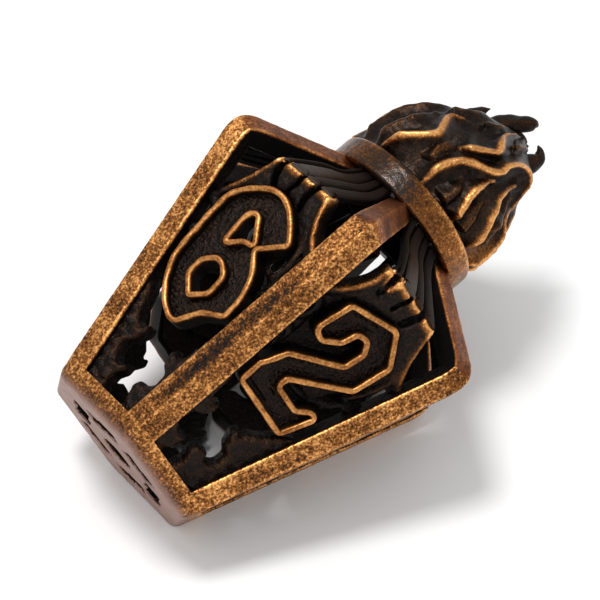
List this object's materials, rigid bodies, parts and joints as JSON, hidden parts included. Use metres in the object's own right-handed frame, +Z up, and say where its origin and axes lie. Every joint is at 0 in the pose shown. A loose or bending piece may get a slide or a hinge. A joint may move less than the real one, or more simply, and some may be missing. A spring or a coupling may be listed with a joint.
{
  "type": "metal die",
  "caption": "Caged torch barrel die: six flared faces, each with a pierced plate and a raised number, between corner posts, with a neck collar and a flame end.",
  "frame": {"origin": "middle of the face the die lies on, halfway from foot edge to shoulder edge", "axes": "+Z up from the face it lies on, +X along that face from the foot towards the flame, +Y across it"},
  "size_m": [0.0388, 0.028, 0.0233],
  "materials": {
    "cage_bars": "antique copper plating, rubbed bright on the outside, grainy",
    "shoulder_arms": "antique copper plating, redder and less rubbed than the posts",
    "foot_plate": "antique copper plating, smooth dull plum brown underneath",
    "neck_collar": "antique copper plating, half rubbed, satin",
    "numeral_rims": "antique copper plating rubbed bright along the top",
    "numeral_plates": "black patina on a pebbled cast ground",
    "flame_hands": "dark patina, rubbed copper at the finger ends and edges",
    "hand_tongues": "grey black patina, satin",
    "foot_scrolls": "dark brown patina, rough cast",
    "flame": "dark patina with rubbed copper along the licks"
  },
  "bodies": {
    "root": {"corner_post_1": "cage_bars", "corner_post_2": "cage_bars", "corner_post_3": "cage_bars", "corner_post_4": "cage_bars", "corner_post_5": "cage_bars", "corner_post_6": "cage_bars", "flame_claw_long": "flame", "flame_claw_short": "flame", "flame_core": "flame", "flame_hand_five": "flame_hands", "flame_hand_four": "flame_hands", "flame_hand_one": "flame_hands", "flame_hand_six": "flame_hands", "flame_hand_three": "flame_hands", "flame_hand_two": "flame_hands", "foot_plate": "foot_plate", "foot_scroll_five_left": "foot_scrolls", "foot_scroll_five_right": "foot_scrolls", "foot_scroll_four_left": "foot_scrolls", "foot_scroll_four_right": "foot_scrolls", "foot_scroll_one_left": "foot_scrolls", "foot_scroll_one_right": "foot_scrolls", "foot_scroll_six_left": "foot_scrolls", "foot_scroll_six_right": "foot_scrolls", "foot_scroll_three_left": "foot_scrolls", "foot_scroll_three_right": "foot_scrolls", "foot_scroll_two_left": "foot_scrolls", "foot_scroll_two_right": "foot_scrolls", "hand_tongues_five": "hand_tongues", "hand_tongues_four": "hand_tongues", "hand_tongues_one": "hand_tongues", "hand_tongues_six": "hand_tongues", "hand_tongues_three": "hand_tongues", "hand_tongues_two": "hand_tongues", "neck_collar": "neck_collar", "number_plate_five": "numeral_plates", "number_plate_four": "numeral_plates", "number_plate_one": "numeral_plates", "number_plate_six": "numeral_plates", "number_plate_three": "numeral_plates", "number_plate_two": "numeral_plates", "number_rim_five": "numeral_rims", "number_rim_four": "numeral_rims", "number_rim_one": "numeral_rims", "number_rim_six": "numeral_rims", "number_rim_three": "numeral_rims", "number_rim_two": "numeral_rims", "shoulder_arm_1": "shoulder_arms", "shoulder_arm_2": "shoulder_arms", "shoulder_arm_3": "shoulder_arms", "shoulder_arm_4": "shoulder_arms", "shoulder_arm_5": "shoulder_arms", "shoulder_arm_6": "shoulder_arms"}
  },
  "joints": []
}
